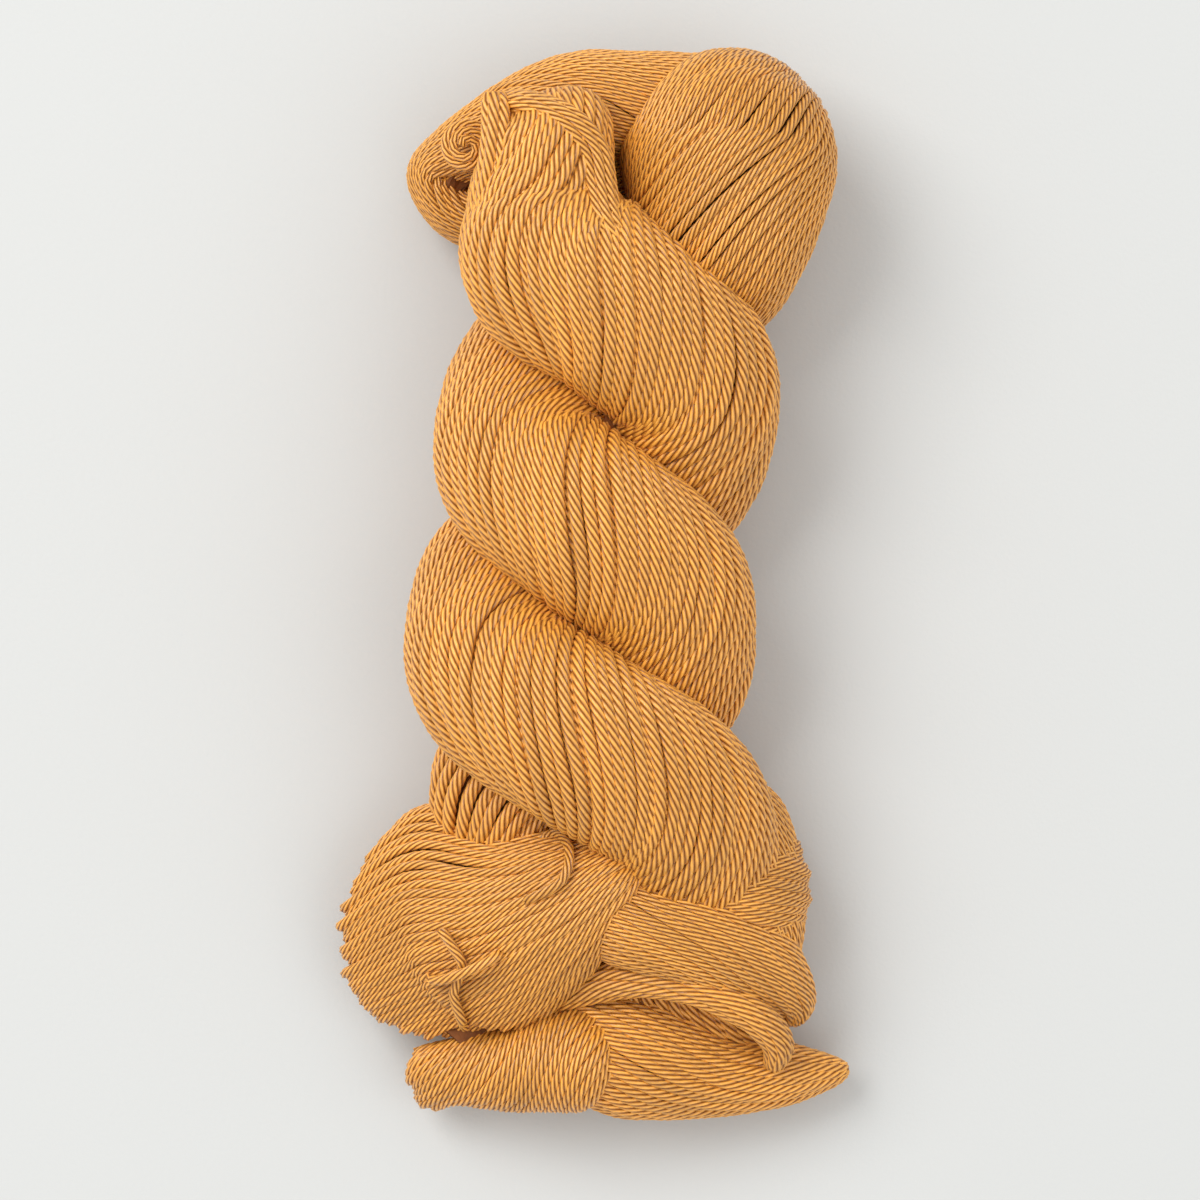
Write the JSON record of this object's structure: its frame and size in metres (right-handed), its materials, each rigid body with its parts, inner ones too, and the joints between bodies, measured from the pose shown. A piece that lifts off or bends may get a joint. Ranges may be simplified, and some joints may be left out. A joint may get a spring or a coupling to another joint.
{
  "type": "hank of cotton yarn",
  "caption": "Twisted hank of plied cotton yarn lying flat, its looped ends fanned out and held by a short tie.",
  "frame": {"origin": "on the resting surface, below the middle of the hank's outline", "axes": "+Z up, +Y along the hank towards its folded end, +X to the right seen from above with +Y up"},
  "size_m": [0.1146, 0.2407, 0.0567],
  "materials": {
    "cotton_yarn": "plied mercerised cotton, ochre yellow, satin",
    "tie_yarn": "plied mercerised cotton, ochre yellow, satin"
  },
  "bodies": {
    "root": {"hank": "cotton_yarn", "tie": "tie_yarn"}
  },
  "joints": []
}
